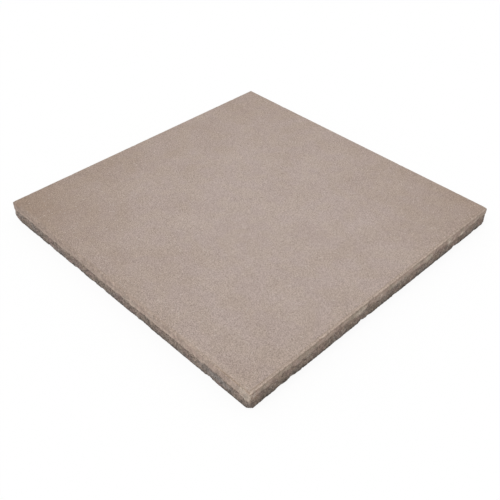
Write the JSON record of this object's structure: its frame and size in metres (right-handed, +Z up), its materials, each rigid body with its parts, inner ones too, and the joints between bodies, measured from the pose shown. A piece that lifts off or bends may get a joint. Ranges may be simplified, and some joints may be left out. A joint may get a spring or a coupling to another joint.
{
  "type": "concrete paving slab",
  "caption": "Square pressed concrete paving slab with a flat wearing face, a bevelled arris and a rough, torn lower edge.",
  "frame": {"origin": "middle of the bed, the flat underside that the slab lies on", "axes": "+Z up from the bed to the wearing face, +X and +Y along the slab's edges"},
  "size_m": [0.6, 0.6, 0.038],
  "materials": {
    "concrete": "matte"
  },
  "bodies": {
    "root": {"slab": "concrete"}
  },
  "joints": []
}
